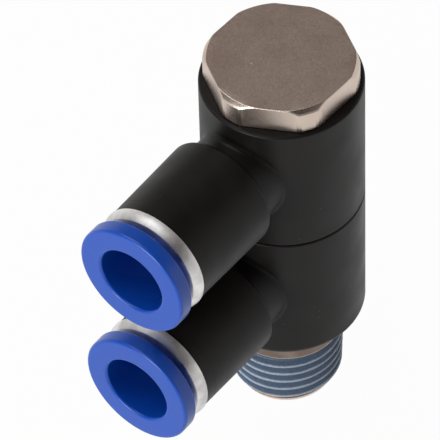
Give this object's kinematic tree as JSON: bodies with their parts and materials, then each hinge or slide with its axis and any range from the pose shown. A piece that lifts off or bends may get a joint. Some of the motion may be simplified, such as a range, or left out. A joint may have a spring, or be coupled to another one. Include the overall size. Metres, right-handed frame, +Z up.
{
  "type": "push-in manifold fitting",
  "caption": "Double banjo push-in fitting: two swivelling plastic bodies with tube ports stacked on a hollow hex-head bolt with a taper pipe thread.",
  "frame": {"origin": "on the bolt's axis at the end face of its thread", "axes": "+Z up along the bolt towards the hex head, -Y out of the tube ports"},
  "size_m": [0.0184, 0.0368, 0.0515],
  "materials": {
    "nickel_plated_brass": "satin nickel plate",
    "black_plastic": "fine matt moulded",
    "blue_plastic": "smooth moulded",
    "white_plastic": "smooth moulded",
    "spring_steel": "bright stamped",
    "black_rubber": "matt"
  },
  "bodies": {
    "bolt": {"banjo_bolt": "nickel_plated_brass", "retaining_ring": "spring_steel", "upper_body_top_seal": "black_rubber", "upper_body_bottom_seal": "black_rubber", "lower_body_top_seal": "black_rubber", "lower_body_bottom_seal": "black_rubber"},
    "upper_banjo": {"upper_body": "black_plastic", "upper_tube_seal": "black_rubber", "upper_spacer_ring": "white_plastic", "upper_claw_ring": "spring_steel", "upper_guide_sleeve": "nickel_plated_brass"},
    "lower_banjo": {"lower_body": "black_plastic", "lower_tube_seal": "black_rubber", "lower_spacer_ring": "white_plastic", "lower_claw_ring": "spring_steel", "lower_guide_sleeve": "nickel_plated_brass"},
    "upper_button": {"upper_release_button": "blue_plastic"},
    "lower_button": {"lower_release_button": "blue_plastic"}
  },
  "joints": [
    {"name": "upper_swivel", "type": "hinge", "parent": "bolt", "child": "upper_banjo", "pos_m": [0, 0, 0.0398], "axis": [0, 0, 1], "continuous": true},
    {"name": "lower_swivel", "type": "hinge", "parent": "bolt", "child": "lower_banjo", "pos_m": [0, 0, 0.0217], "axis": [0, 0, 1], "continuous": true},
    {"name": "upper_button_press", "type": "slide", "parent": "upper_banjo", "child": "upper_button", "axis": [0, 1, 0], "range_m": [0, 0.0009], "stiffness_N_per_m": 6000, "deforming": ["upper_claw_ring"]},
    {"name": "lower_button_press", "type": "slide", "parent": "lower_banjo", "child": "lower_button", "axis": [0, 1, 0], "range_m": [0, 0.0009], "stiffness_N_per_m": 6000, "deforming": ["lower_claw_ring"]}
  ]
}
